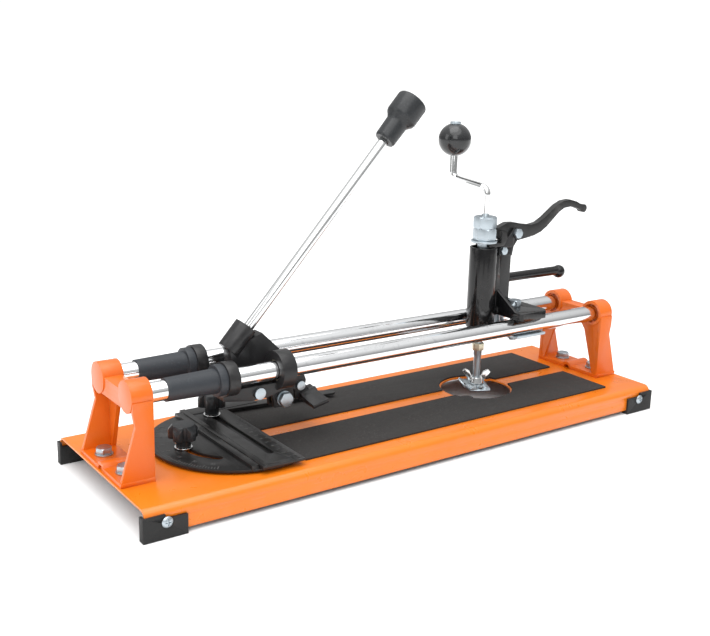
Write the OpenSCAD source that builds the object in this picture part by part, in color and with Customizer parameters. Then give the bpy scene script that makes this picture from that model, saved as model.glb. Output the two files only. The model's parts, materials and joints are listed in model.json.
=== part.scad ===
// Twin-rail tile cutter with an angle gauge and a crank-driven hole cutter.
// Millimetres. +X runs along the rails, +Z is up; the origin is on the floor under the middle of the base.

/* [Base] */
// Length of the pressed-steel base
base_l = 620; // [540:1:760]
// Width of the base over its two folded skirts
base_w = 195; // [165:1:240]
// Height of the base from the skirt's lower edge to the deck
base_h = 23; // [18:0.5:34]
// Thickness of the base sheet
sheet = 2; // [1.2:0.1:3]
// Outside radius of the folds
fold_r = 7; // [4:0.5:9]
// Radius of the hole in the deck under the hole cutter
deck_hole_r = 39; // [34:0.5:46]
// How far each of the two tongues stands into that hole
tongue_in = 6; // [3:0.5:8]
// Thickness of the rubber pads
pad_t = 1.8; // [1:0.1:1.8]
// Width of the bare strip between the two pads
centre_gap = 21; // [14:1:30]
// Bare margin between a pad and the edge of the base
pad_margin = 21; // [12:1:30]
// Thickness of a foot under the skirt
foot_under = 4.5; // [3:0.5:8]
// Length of a corner foot
foot_l = 40; // [30:1:50]
// Wall of a corner foot outside the skirt
foot_wall = 2.4; // [1.8:0.1:4]

/* [Rails and brackets] */
// Diameter of the two guide rails
rail_d = 18; // [14:0.5:22]
// Distance between the rail axes
rail_gap = 62; // [56:1:70]
// Height of the rail axes over the deck
rail_h = 75; // [68:1:90]
// Depth of a bracket's foot along the rails
bracket_d = 31.5; // [28:0.5:40]
// Gap between a bracket's foot and the end of the base
bracket_inset = 1.5; // [1:0.5:10]
// Radius of the bosses that hold the rails
boss_r = 14.5; // [12:0.5:18]
// Depth of the bosses along the rails
boss_d = 19; // [15:0.5:24]
// Wall thickness of the cast brackets
bracket_wall = 4; // [3:0.5:6]

/* [Carriage] */
// Distance from the left end of the base to the carriage's front rings
carriage_at = 160; // [150:1:200]
// Length of a guide sleeve
sleeve_l = 67; // [50:1:70]
// Outer radius of the front rings
ring_r = 18.3; // [17:0.1:20]
// Length of the front rings along the rail
ring_l = 14.5; // [10:0.5:18]
// Outer radius of the rear collars
collar_r = 16; // [15:0.5:18]
// Length of the rear collars along the rail
collar_l = 11; // [8:0.5:14]
// Length of the lever rod that shows between socket and knob
rod_show = 229; // [150:1:260]
// Diameter of the lever rod
rod_d = 10; // [8:0.5:12]
// Lean of the lever from the horizontal, in degrees
lever_lean = 48; // [44:1:56]
// Diameter of the scoring wheel
wheel_d = 20; // [14:0.5:22]

/* [Hole cutter] */
// Distance from the middle of the base to the cutter's spindle
cutter_x = 131; // [110:1:150]
// Height of the tube housing
housing_h = 89; // [70:1:100]
// Outer radius of the tube housing
housing_r = 15; // [14:0.5:18]
// Diameter of the threaded spindle
spindle_d = 14; // [12:0.5:16]
// Diameter of the crank rod
crank_d = 8; // [6:0.5:10]
// Offset of the crank's grip from the spindle
crank_arm = 47.6; // [40:0.5:60]
// Turn of the crank from the rail direction at rest, in degrees
crank_turn = 100; // [90:5:110]
// Diameter of the ball on the crank
ball_d = 35.6; // [28:0.5:40]
// Radius that the carbide bit cuts at rest
bit_r = 18; // [17:0.5:22]
// Length of the clamp handle
handle_l = 98; // [60:1:110]

/* [Angle gauge] */
// Radius of the protractor
protractor_r = 82; // [72:1:86]
// Distance from the left end of the base to the protractor's pivot
gauge_at = 136; // [132:1:150]
// Width of the gauge's ruler leg
ruler_w = 44; // [36:1:50]
// Length of the gauge's ruler leg
ruler_l = 168; // [130:1:180]
// Thickness of the protractor and of the ruler leg
plate_t = 2.3; // [1.8:0.1:2.5]

/* [Fits] */
// Radial play between a shaft and its bore
run_fit = 0.05; // [0.03:0.01:0.09]
// Play between parts that pass each other
slip = 0.3; // [0.3:0.05:0.5]
// Play round a clamped screw
screw_fit = 0.3; // [0.2:0.05:0.5]

/* [Hidden] */
$fn = 64;

deck_z = foot_under + base_h;
rail_r = rail_d / 2;
rail_y = rail_gap / 2;
pad_in = centre_gap / 2;
pad_out = base_w / 2 - pad_margin;
bracket_out = base_l / 2 - bracket_inset;
bracket_in = bracket_out - bracket_d;
bracket_w = rail_gap + 2 * boss_r + 2;
bolt_x = bracket_out - 13.5;
bolt_y = 24;
foot_screw_x = base_l / 2 - 19;
foot_screw_z = foot_under + base_h / 2 - 1;
gauge_x = gauge_at - base_l / 2;
stud_r = 54;
stud_hole = 6.2;
stud_y = 57.5;
seat_fit = 0.01;
pad_right = bracket_in - 17.5;
pad_left = gauge_x + 31;
ring_x = carriage_at - base_l / 2;
collar_x = ring_x - 54;
tilt_x = ring_x - 18;
tilt_h = rail_h - 18;
axle_x = ring_x + 25;
axle_h = rail_h - 39;
foot_pin_x = ring_x + 44;
foot_pin_h = rail_h - 29;
slab_t = 8.2;
slab_h = rail_h + rail_r + slip;
housing_low = rail_h - 3;
housing_top = housing_low + housing_h;
washer_gap = 5;
washer_h = housing_top + washer_gap;
nut_af = 22;
nut_t = 12.8;
strap_x = 41;
strap_low_x = 21;
strap_h = housing_top + 12.5;
clamp_x = 41;
clamp_y = 16;
clamp_bolt_y = -11;
clamp_low = rail_h - rail_r - slip;
handle_h = slab_h + 34;
plate_h = pad_t + 0.4;
ruler_h = plate_h + plate_t + slip;
bit_plate_t = 2.5;
bit_plate_h = pad_t + 2;
bit_slot_in = 5;
bit_slot_out = 4;
spring_seat = housing_low + 19;
bit_turn = -117;
lean_x = cos(lever_lean);
lean_z = sin(lever_lean);
socket_l = 28;
socket_x = ring_x - 29;
socket_h = rail_h + 14;
knob_at = socket_l - 2 + rod_show;
neck_l = 25;
cap_l = 26;
lever_top = [[16, 8], [30, 13], [41, 12.5], [55, 9.5], [66, 8], [76, 9.5], [86, 14.5], [96, 21.5],
    [105, 27.5],
  [115, 31.5], [126, 32.5], [137, 29.5], [148, 24]];
lever_low = [[146, 19], [136, 22.5], [127, 24.5], [117, 23.5], [109, 19.5], [100, 12], [91, 4.5],
    [82, -1],
  [71, -4.5], [58, -6.5], [45, -8], [38, -7], [32, -2.5], [22, -1.5], [16, -4]];
crank_low = washer_h + 2.4 + 2 * nut_t + 30;
crank_rise = crank_arm * tan(7.5);
crank_bend = 8;
ball_h = crank_low + crank_rise + 41.6;
chrome = [0.86, 0.87, 0.88];
zinc = [0.72, 0.76, 0.80];
orange = [0.98, 0.50, 0.13];
black = [0.11, 0.11, 0.11];
rubber = [0.16, 0.16, 0.16];

// Lifts a part that is drawn from the deck upwards.
module on_deck() {
  translate([0, 0, deck_z])
    children();
}

// Rod of radius r between x0 and x1 along X, at y and z.
module x_rod(r, x0, x1, y, z) {
  translate([x0, y, z])
    rotate([0, 90, 0])
      cylinder(r = r, h = x1 - x0);
}

// Rod of radius r between y0 and y1 along Y, at x and z.
module y_rod(r, y0, y1, x, z) {
  translate([x, y1, z])
    rotate([90, 0, 0])
      cylinder(r = r, h = y1 - y0);
}

// Plate from a side outline in X and Z, between y0 and y1.
module side_plate(points, y0, y1) {
  translate([0, y1, 0])
    rotate([90, 0, 0])
      linear_extrude(y1 - y0)
        polygon(points);
}

// Block from one corner to the other.
module block(low, high) {
  translate(low)
    cube(high - low);
}

// Hexagon bar along Z with flats af apart, its edges turned down at the ends.
module hex_bar(af, h) {
  corner = af / sqrt(3);
  turn = af * 0.06;
  intersection() {
    cylinder(r = corner, h = h, $fn = 6);
    union() {
      cylinder(r1 = corner - turn, r2 = corner + turn, h = 2 * turn);
      translate([0, 0, 2 * turn])
        cylinder(r = corner + turn, h = h - 4 * turn);
      translate([0, 0, h - 2 * turn])
        cylinder(r1 = corner + turn, r2 = corner - turn, h = 2 * turn);
    }
  }
}

// Outline of the folded base: a channel open below.
module channel_outline(w, h, r) {
  translate([-w / 2, 0])
    square([w, h - r]);
  translate([-w / 2 + r, 0])
    square([w - 2 * r, h]);
  for (side = [-1, 1])
    translate([side * (w / 2 - r), h - r])
      circle(r);
}

// Outline of the deck hole, grown by extra: a circle with two round tongues.
module deck_hole_outline(extra) {
  difference() {
    circle(deck_hole_r + extra);
    for (turn = [35, 215])
      rotate(turn)
        translate([deck_hole_r + 3, 0])
          circle(3 + tongue_in - extra);
  }
}

module base_plate() {
  color(orange)
    difference() {
      translate([-base_l / 2, 0, foot_under])
        rotate([90, 0, 90])
          linear_extrude(base_l)
            difference() {
              channel_outline(base_w, base_h, fold_r);
              translate([0, -1])
                channel_outline(base_w - 2 * sheet, base_h - sheet + 1, fold_r - sheet);
            }
      translate([cutter_x, 0, deck_z - 2 * sheet])
        linear_extrude(4 * sheet)
          deck_hole_outline(0);
      for (x = [-bolt_x, bolt_x], y = [-bolt_y, bolt_y])
        translate([x, y, deck_z - 2 * sheet])
          cylinder(r = 4 + screw_fit, h = 4 * sheet);
      for (x = [gauge_x, gauge_x - stud_r])
        translate([x, 0, deck_z - 2 * sheet])
          cylinder(r = stud_hole / 2, h = 4 * sheet);
      for (x = [-foot_screw_x, foot_screw_x])
        y_rod(2 + screw_fit, -base_w, base_w, x, foot_screw_z);
    }
}

// One rubber pad; side is -1 for the front and 1 for the back.
module pad(side) {
  low = side < 0 ? -pad_out : pad_in;
  color(rubber)
    on_deck()
      difference() {
        block([pad_left, low, 0], [pad_right, low + pad_out - pad_in, pad_t]);
        translate([cutter_x, 0, -1])
          linear_extrude(pad_t + 2)
            deck_hole_outline(1.5);
      }
}

module front_pad() {
  pad(-1);
}

module back_pad() {
  pad(1);
}

// Inner web of a bracket, as an outline in Y and Z.
module web_outline() {
  half = bracket_w / 2;
  arch = rail_h - 15;
  difference() {
    translate([-half + 1, 1])
      square([bracket_w - 2, rail_h - 6]);
    polygon([[-half + 8, bracket_wall], [half - 8, bracket_wall], [rail_y - 9, arch - 6],
      [rail_y - 14, arch], [14 - rail_y, arch], [9 - rail_y, arch - 6]]);
  }
}

// Cast bracket at the right-hand end; the left one is its mirror image.
module bracket() {
  half = bracket_w / 2;
  x0 = bracket_in;
  cheek = [[x0, 1], [x0 + bracket_d - 1, 1], [x0 + bracket_d - 1, bracket_wall],
      [x0 + boss_d - 2.5, rail_h - 24],
    [x0 + boss_d - 0.5, rail_h - 12], [x0 + boss_d - 0.5, rail_h - 2], [x0, rail_h - 2]];
  color(orange)
    on_deck()
      difference() {
        union() {
          block([x0, -half - 0.5, 0], [x0 + bracket_d, half + 0.5, bracket_wall]);
          translate([x0 + 0.5, 0, 0])
            rotate([90, 0, 90])
              linear_extrude(bracket_wall)
                web_outline();
          for (y = [-half, half - bracket_wall])
            side_plate(cheek, y, y + bracket_wall);
          for (y = [-rail_y, rail_y])
            x_rod(boss_r, x0 - 0.5, x0 + boss_d, y, rail_h);
          block([x0 + 1, -rail_y, rail_h - 13], [x0 + boss_d - 1, rail_y, rail_h + 3.5]);
          difference() {
            x_rod(8, x0 - 0.5, x0 + bracket_d - 0.5, 0, 0);
            block([x0 - 1, -half, -10], [x0 + bracket_d + 1, half, 1]);
          }
        }
        x_rod(4.5, x0 - 1, x0 + bracket_d + 1, 0, 0);
        for (y = [-rail_y, rail_y]) {
          x_rod(rail_r + run_fit, x0 - 1, x0 + boss_d - 4, y, rail_h);
          x_rod(rail_r + 2, x0 - 1, x0 + 2.5, y, rail_h);
        }
        for (y = [-bolt_y, bolt_y])
          translate([bolt_x, y, -1])
            cylinder(r = 4 + screw_fit, h = bracket_wall + 2);
      }
}

module left_bracket() {
  mirror([1, 0, 0])
    bracket();
}

module right_bracket() {
  bracket();
}

// One guide rail with turned ends, along X at y.
module rail(y) {
  end = bracket_in + boss_d - 4.5;
  color(chrome)
    on_deck()
      union() {
        x_rod(rail_r, -end + 1, end - 1, y, rail_h);
        x_rod(rail_r - 1, -end, end, y, rail_h);
      }
}

module front_rail() {
  rail(-rail_y);
}

module back_rail() {
  rail(rail_y);
}

// Repeats its children at the four bracket bolts.
module at_bolts() {
  for (x = [-bolt_x, bolt_x], y = [-bolt_y, bolt_y])
    translate([x, y, deck_z])
      children();
}

module bracket_bolts() {
  washer_t = 1.6;
  color(zinc)
    at_bolts()
      union() {
        translate([0, 0, bracket_wall + washer_t])
          hex_bar(13, 5.4);
        translate([0, 0, -sheet - 9])
          cylinder(r = 4, h = bracket_wall + washer_t + sheet + 9.5);
      }
}

module bracket_washers() {
  color(zinc)
    at_bolts()
      translate([0, 0, bracket_wall])
        difference() {
          cylinder(r = 8.2, h = 1.6);
          translate([0, 0, -1])
            cylinder(r = 4.2, h = 4);
        }
}

module bracket_nuts() {
  color(zinc)
    at_bolts()
      translate([0, 0, -sheet - 6.5])
        difference() {
          hex_bar(13, 6.5);
          translate([0, 0, -1])
            cylinder(r = 4, h = 9);
        }
}

// Corner foot for the front right corner, which grips the skirt's lower edge.
module corner_foot() {
  play = 0.1;
  x1 = base_l / 2 + foot_wall;
  y1 = base_w / 2 + foot_wall;
  y0 = base_w / 2 - sheet - 3.5;
  top = base_h - 1;
  color(black)
    difference() {
      union() {
        block([x1 - foot_l / 2, y0, 0], [x1, y1, top]);
        block([x1 - foot_l, y0, 0], [x1, y1, top - 4]);
      }
      block([x1 - foot_l - 1, base_w / 2 - sheet - play, foot_under],
          [base_l / 2 + play, base_w / 2 + play, top + 1]);
      block([x1 - foot_l - 1, y0 - 1, top - 4], [base_l / 2 + play, base_w / 2, top + 1]);
      y_rod(2 + screw_fit, y0 - 1, y1 + 1, foot_screw_x, foot_screw_z);
    }
}

module foot_back_right() {
  corner_foot();
}

module foot_front_right() {
  mirror([0, 1, 0])
    corner_foot();
}

module foot_back_left() {
  mirror([1, 0, 0])
    corner_foot();
}

module foot_front_left() {
  mirror([1, 0, 0])
    mirror([0, 1, 0])
      corner_foot();
}

// Repeats its children at the four foot screws, with +Z pointing out of the skirt.
module at_foot_screws() {
  for (x = [-foot_screw_x, foot_screw_x], side = [-1, 1])
    translate([x, side * (base_w / 2 + foot_wall), foot_screw_z])
      rotate([-side * 90, 0, 0])
        children();
}

module foot_screws() {
  head_r = 5;
  color(zinc)
    at_foot_screws()
      difference() {
        union() {
          translate([0, 0, -foot_wall - sheet - 9])
            cylinder(r = 2, h = foot_wall + sheet + 9.2);
          rotate_extrude()
            intersection() {
              translate([0, -4.6])
                circle(7);
              square([head_r, 2.4]);
            }
        }
        for (turn = [0, 90])
          rotate(turn)
            translate([-2.6, -0.5, 1.2])
              cube([5.2, 1, 3]);
      }
}

module foot_nuts() {
  color(zinc)
    at_foot_screws()
      translate([0, 0, -foot_wall - sheet - 3.5 - 3.2])
        difference() {
          hex_bar(7, 3.2);
          translate([0, 0, -1])
            cylinder(r = 2, h = 6);
        }
}

module gauge_pivot() {
  color(zinc)
    translate([gauge_x, 0, deck_z])
      union() {
        cylinder(r = 11, h = plate_h - slip / 2);
        translate([0, 0, -sheet - 1])
          cylinder(r = 3, h = sheet + 1 + plate_h + plate_t);
        translate([0, 0, -sheet - 3])
          cylinder(r = 6, h = 3);
      }
}

module swivel_stud() {
  color(zinc)
    translate([gauge_x - stud_r, 0, deck_z])
      union() {
        translate([0, 0, -sheet - 3])
          cylinder(r = 7, h = 3);
        translate([0, 0, -sheet - 1])
          cylinder(r = 3, h = sheet + 20);
      }
}

module carriage_frame() {
  sleeve_r = rail_r + 3;
  bar_y = rail_y - 4;
  color(black)
    on_deck()
      difference() {
        union() {
          for (side = [-1, 1]) {
            x_rod(collar_r, collar_x, collar_x + collar_l, side * rail_y, rail_h);
            x_rod(ring_r, ring_x, ring_x + ring_l, side * rail_y, rail_h);
            side_plate([[collar_x, rail_h - 20], [collar_x + 12, rail_h - 22], [tilt_x - 8, tilt_h - 6],
                [tilt_x + 8, tilt_h - 6], [ring_x + ring_l, rail_h - ring_r + 1],
                    [ring_x + ring_l, rail_h - rail_r - 2],
                [collar_x, rail_h - rail_r - 2]],
              side * rail_y - 4, side * rail_y + 4);
          }
          block([collar_x, -rail_y, rail_h - 20], [collar_x + collar_l, rail_y, rail_h - 10]);
        }
        for (y = [-rail_y, rail_y]) {
          x_rod(sleeve_r + run_fit, collar_x - 1, collar_x + collar_l + 1, y, rail_h);
          x_rod(rail_r + 1, collar_x - 1, ring_x + ring_l + 1, y, rail_h);
          x_rod(sleeve_r, ring_x + 2, ring_x + ring_l - 2, y, rail_h);
        }
        y_rod(3 + run_fit, -bar_y - 12, bar_y + 12, tilt_x, tilt_h);
      }
}

// Tapered guide sleeve round one rail, with the flange that seats on the rear collar.
module guide_sleeve(y) {
  color([0.17, 0.18, 0.20])
    on_deck()
      difference() {
        union() {
          translate([collar_x - sleeve_l + collar_l, y, rail_h])
            rotate([0, 90, 0])
              cylinder(r1 = rail_r + 1.5, r2 = rail_r + 2.6, h = sleeve_l - collar_l);
          x_rod(rail_r + 3, collar_x - 4, collar_x + collar_l, y, rail_h);
          x_rod(collar_r - 1.5, collar_x - 8, collar_x, y, rail_h);
        }
        x_rod(rail_r + run_fit, collar_x - sleeve_l, collar_x + collar_l + 1, y, rail_h);
      }
}

module front_guide_sleeve() {
  guide_sleeve(-rail_y);
}

module back_guide_sleeve() {
  guide_sleeve(rail_y);
}

module ring_bushes() {
  color([0.75, 0.72, 0.62])
    on_deck()
      for (y = [-rail_y, rail_y])
        difference() {
          x_rod(rail_r + 3 - run_fit, ring_x + 2.05, ring_x + ring_l - 2.05, y, rail_h);
          x_rod(rail_r + run_fit, ring_x, ring_x + ring_l, y, rail_h);
        }
}

module tilt_pin() {
  end = rail_y + 4;
  color(zinc)
    on_deck()
      union() {
        y_rod(3, -end - 2.5, end + 0.5, tilt_x, tilt_h);
        y_rod(5.5, -end - 2.6, -end - 0.1, tilt_x, tilt_h);
        y_rod(5, end + 0.1, end + 2.6, tilt_x, tilt_h);
      }
}

// Direction of the lever rod in X and Z.

// Places its children with +Z along the lever rod, from the bottom of the socket.
module along_lever(start) {
  translate([socket_x + start * lean_x, 0, socket_h + start * lean_z])
    rotate([0, 90 - lever_lean, 0])
      children();
}

module lever_head() {
  half = 7;
  slot = 2.4;
  web = [[tilt_x - 9, tilt_h + 2], [tilt_x - 5, tilt_h - 8], [tilt_x + 6, tilt_h - 8],
      [axle_x - 16, axle_h + 12],
    [axle_x - 11, axle_h + 1], [axle_x - 10, axle_h - 8], [axle_x + 9, axle_h - 8], [axle_x + 12, axle_h],
    [foot_pin_x - 9, foot_pin_h + 3], [foot_pin_x - 9, foot_pin_h + 14], [ring_x + 27, rail_h + 5],
    [socket_x + 30, socket_h + 16], [socket_x + 17, socket_h + 11], [socket_x - 4, socket_h + 3]];
  color(black)
    on_deck()
      difference() {
        union() {
          side_plate(web, -half, half);
          along_lever(0)
            translate([-3, 0, 0])
              cylinder(r = 11, h = socket_l);
          y_rod(8, -12, 12, tilt_x, tilt_h);
          side_plate([[ring_x + 20, foot_pin_h + 22], [foot_pin_x - 9, foot_pin_h - 1],
              [foot_pin_x - 5, foot_pin_h - 5],
              [foot_pin_x + 5, foot_pin_h - 5], [foot_pin_x + 6.5, foot_pin_h + 5],
                  [foot_pin_x - 2, foot_pin_h + 26]],
            -half, half);
        }
        y_rod(3 + run_fit, -20, 20, tilt_x, tilt_h);
        y_rod(4 + screw_fit, -20, 20, axle_x, axle_h);
        y_rod(3 + screw_fit, -20, 20, foot_pin_x, foot_pin_h);
        block([axle_x - 25, -slot, axle_h - 12], [axle_x + 14.5, slot, axle_h + wheel_d / 2 + 3]);
        block([foot_pin_x - 10.5, -3.5, foot_pin_h - 12], [foot_pin_x + 12, 3.5, foot_pin_h + 9.5]);
        along_lever(3)
          cylinder(r = rod_d / 2 + seat_fit, h = socket_l);
      }
}

module lever_rod() {
  color(chrome)
    on_deck()
      along_lever(3)
        cylinder(r = rod_d / 2, h = knob_at - 3 + 20);
}

module lever_knob() {
  cap_r = 16;
  neck_r = 10.8;
  color([0.13, 0.14, 0.15])
    on_deck()
      along_lever(knob_at)
        difference() {
          rotate_extrude()
            union() {
              polygon([[0, 0], [neck_r - 1, 0], [neck_r - 0.2, 1.5], [neck_r, 3],
                  [neck_r + 0.4, neck_l - 3],
                [cap_r - 3.2, neck_l - 0.5], [cap_r - 0.8, neck_l + 2.5], [cap_r, neck_l + 5],
                [cap_r, neck_l + cap_l - 3], [cap_r - 3, neck_l + cap_l], [0, neck_l + cap_l]]);
              translate([cap_r - 3, neck_l + cap_l - 3])
                circle(3);
            }
          translate([0, 0, -1])
            cylinder(r = rod_d / 2 + seat_fit, h = 21);
        }
}

module wheel_axle() {
  half = 7;
  color(zinc)
    on_deck()
      union() {
        y_rod(4, -half - 2, half + 7, axle_x, axle_h);
        translate([axle_x, -half - 1.6, axle_h])
          rotate([90, 0, 0])
            hex_bar(13, 5.3);
        y_rod(7.8, -half - 1.6, -half, axle_x, axle_h);
      }
}

module axle_nut() {
  color(zinc)
    on_deck()
      translate([axle_x, 7, axle_h])
        rotate([-90, 0, 0])
          difference() {
            hex_bar(13, 6.3);
            translate([0, 0, -1])
              cylinder(r = 4, h = 9);
          }
}

module scoring_wheel() {
  hub = 2;
  color([0.80, 0.66, 0.35])
    on_deck()
      translate([axle_x, 0, axle_h])
        rotate([90, 0, 0])
          rotate_extrude()
            polygon([[4 + run_fit, -hub], [wheel_d / 2 - 3.5, -hub], [wheel_d / 2 - 2.5, -1],
                [wheel_d / 2, 0],
              [wheel_d / 2 - 2.5, 1], [wheel_d / 2 - 3.5, hub], [4 + run_fit, hub]]);
}

// The V-shaped foot that presses on both halves of a scored tile.
module breaker_foot() {
  reach = 26;
  wide = 18;
  x0 = foot_pin_x - 0.5;
  ridge = foot_pin_h - 13;
  tip = ridge - 7;
  color(black)
    on_deck()
      difference() {
        union() {
          translate([foot_pin_x, 0, foot_pin_h])
            rotate([0, -13, 0])
              translate([-foot_pin_x, 0, -foot_pin_h])
                for (side = [-1, 1])
                  mirror([0, side < 0 ? 1 : 0, 0])
                    translate([x0, 0, 0])
                      rotate([90, 0, 90])
                        linear_extrude(wide)
                          polygon([[0, ridge + 3], [5, ridge + 4], [8, ridge + 0.5],
                              [reach, tip + 3.6], [reach, tip],
                            [6, ridge - 5], [0, ridge - 5]]);
          side_plate([[foot_pin_x - 5, foot_pin_h], [foot_pin_x - 3, ridge - 2],
              [foot_pin_x + 15, ridge + 3],
              [foot_pin_x + 9, foot_pin_h - 2], [foot_pin_x + 5, foot_pin_h + 4]],
            -3.2, 3.2);
          y_rod(6, -3.2, 3.2, foot_pin_x, foot_pin_h);
        }
        y_rod(3 + run_fit, -20, 20, foot_pin_x, foot_pin_h);
      }
}

module foot_pin() {
  color(zinc)
    on_deck()
      union() {
        y_rod(3, -8.5, 8.5, foot_pin_x, foot_pin_h);
        y_rod(4.6, -9.2, -7.1, foot_pin_x, foot_pin_h);
        y_rod(4.6, 7.1, 9.2, foot_pin_x, foot_pin_h);
      }
}

// Moves its children to the spindle's axis on the deck.
module at_spindle() {
  translate([cutter_x, 0, deck_z])
    children();
}

module cutter_body() {
  rib_x = 38;
  rib = 4;
  slab_y = rail_y + 14;
  slab_out = 62;
  bore_r = housing_r - 2.6;
  color(black)
    at_spindle()
      difference() {
        union() {
          translate([0, 0, housing_low])
            cylinder(r = housing_r, h = housing_h);
          side_plate([[0, housing_low + 4], [20, slab_h], [slab_out - 2, slab_h],
              [slab_out - 2, slab_h + slab_t],
              [rib_x + 4, slab_h + slab_t], [rib_x, slab_h + slab_t + 6], [rib_x, housing_top - 12],
                  [rib_x - 4, housing_top],
              [0, housing_top]],
            -rib, rib);
          translate([0, 0, slab_h])
            linear_extrude(slab_t)
              polygon([[19, -slab_y + 3], [22, -slab_y], [slab_out - 6, -slab_y], [slab_out, -slab_y + 7],
                [slab_out, slab_y - 7], [slab_out - 6, slab_y], [22, slab_y], [19, slab_y - 3], [19, 8],
                [8, 8], [8, -8], [19, -8]]);
          for (side = [-1, 1])
            mirror([0, side < 0 ? 1 : 0, 0])
              translate([19, 0, slab_h + slab_t - 1])
                rotate([90, 0, 90])
                  linear_extrude(4)
                    polygon([[0, 0], [slab_y - 8, 0], [rib, 20], [0, 20]]);
        }
        translate([0, 0, housing_low + 3])
          cylinder(r = bore_r, h = housing_h);
        translate([0, 0, housing_low - 1])
          cylinder(r = 7.5, h = 10);
        for (y = [clamp_bolt_y, clamp_y])
          translate([clamp_x, y, slab_h - 1])
            cylinder(r = 4 + run_fit, h = slab_t + 2);
        y_rod(2.5 + seat_fit, -9, 9, strap_low_x, housing_top - 5);
      }
}

module spindle_bushes() {
  color([0.75, 0.72, 0.62])
    at_spindle()
      for (z = [housing_low + 3, housing_top - 25])
        translate([0, 0, z])
          difference() {
            cylinder(r = housing_r - 2.6, h = 10);
            translate([0, 0, -1])
              cylinder(r = (z < rail_h + 10 ? crank_d / 2 + 0.6 : spindle_d / 2) + run_fit, h = 14);
          }
}

module clamp_bolt() {
  color(zinc)
    at_spindle()
      translate([clamp_x, clamp_bolt_y, 0])
        union() {
          translate([0, 0, slab_h + slab_t + 1.6])
            hex_bar(13, 5.3);
          translate([0, 0, slab_h + slab_t])
            cylinder(r = 6.8, h = 1.7);
          translate([0, 0, clamp_low - 12])
            cylinder(r = 4, h = slab_h + slab_t - clamp_low + 13);
        }
}

module clamp_nut() {
  color(zinc)
    at_spindle()
      translate([clamp_x, clamp_bolt_y, clamp_low - 9.4])
        difference() {
          hex_bar(13, 5);
          translate([0, 0, -1])
            cylinder(r = 4, h = 7);
        }
}

module clamp_plate() {
  color(zinc)
    at_spindle()
      difference() {
        block([21, -rail_y - 7, clamp_low - 3], [65, rail_y + 7, clamp_low]);
        for (y = [clamp_bolt_y, clamp_y])
          translate([clamp_x, y, clamp_low - 4])
            cylinder(r = 4 + screw_fit, h = 5);
      }
}

module clamp_screw() {
  color(zinc)
    at_spindle()
      translate([clamp_x, clamp_y, 0])
        union() {
          translate([0, 0, clamp_low - 4.2])
            cylinder(r = 4, h = handle_h - clamp_low + 4);
          translate([0, 0, clamp_low - 9])
            hex_bar(13, 5);
        }
}

module clamp_handle() {
  grip = 5.2;
  color(black)
    at_spindle()
      difference() {
        union() {
          x_rod(grip, clamp_x, clamp_x + handle_l - 4, clamp_y, handle_h);
          translate([clamp_x, clamp_y, handle_h - 9])
            cylinder(r = 7.5, h = 16);
          translate([clamp_x + handle_l - 3, clamp_y, handle_h - 1.5])
            sphere(r = 7.6);
          translate([clamp_x, clamp_y, slab_h + slab_t + 0.4])
            cylinder(r = 6.5, h = handle_h - slab_h - slab_t - 8);
        }
        translate([clamp_x, clamp_y, slab_h])
          cylinder(r = 4, h = handle_h - slab_h - 0.2);
      }
}

module lever_straps() {
  strap = [[17, housing_top - 10], [26, housing_top - 12], [36, housing_top - 12], [38, housing_top - 2],
    [46, strap_h - 4], [45, strap_h + 5], [38, strap_h + 6], [34, strap_h + 1], [22, housing_top + 1],
        [16, housing_top - 3]];
  color(black)
    at_spindle()
      difference() {
        for (y = [4.1, -7.1])
          side_plate(strap, y, y + 3);
        y_rod(3 + run_fit, -20, 20, strap_x, strap_h);
        y_rod(2.5, -20, 20, strap_low_x, housing_top - 5);
      }
}

module strap_pins() {
  color(zinc)
    at_spindle()
      union() {
        y_rod(3, -9, 9, strap_x, strap_h);
        y_rod(2.5, -9, 9, strap_low_x, housing_top - 5);
        for (y = [-11.5, 7.2]) {
          translate([strap_x, y + 4.3, strap_h])
            rotate([90, 0, 0])
              hex_bar(10, 4.3);
          translate([strap_low_x, y + 4.3, housing_top - 5])
            rotate([90, 0, 0])
              hex_bar(8, 4.3);
        }
      }
}

module feed_lever() {
  half = 3.6;
  nose_r = 2.2;
  nose_h = washer_gap - slip - nose_r;
  yoke_y = spindle_d / 2 + 1.2;
  color(black)
    at_spindle()
      difference() {
        union() {
          translate([0, 0, strap_h - 1])
            side_plate(concat(lever_top, lever_low), -half, half);
          y_rod(4.6, -half, half, 149.5, strap_h + 20);
          for (side = [-1, 1])
            mirror([0, side < 0 ? 1 : 0, 0]) {
              side_plate([[0, housing_top + nose_h - nose_r + 0.2],
                  [19, housing_top + nose_h - nose_r + 0.4],
                  [24, strap_h - 4], [22, strap_h + 4], [15.5, strap_h + 4],
                      [15, housing_top + nose_h + nose_r - 0.3],
                  [0, housing_top + nose_h + nose_r - 0.2]],
                yoke_y, yoke_y + 3);
              y_rod(nose_r, yoke_y, yoke_y + 3, 0, housing_top + nose_h);
              block([16, 0, strap_h - 5], [23, yoke_y + 3, strap_h + 4]);
            }
        }
        y_rod(3 + run_fit, -20, 20, strap_x, strap_h);
      }
}

// Compression spring round the spindle, as stacked tilted rings joined by a post.
module feed_spring() {
  turns = 7;
  low = spring_seat + 3;
  high = housing_top - 26.2;
  ring = 9.6;
  step = (high - low) / turns;
  color(zinc)
    at_spindle()
      union() {
        for (i = [0 : turns])
          translate([0, 0, low + i * step])
            rotate_extrude()
              translate([ring, 0])
                circle(0.9, $fn = 16);
        translate([ring, 0, low])
          cylinder(r = 0.7, h = high - low, $fn = 16);
      }
}

module thrust_washer() {
  color(zinc)
    at_spindle()
      translate([0, 0, washer_h])
        difference() {
          cylinder(r = 14.2, h = 2.4);
          translate([0, 0, -1])
            cylinder(r = spindle_d / 2 + run_fit, h = 6);
        }
}

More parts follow.
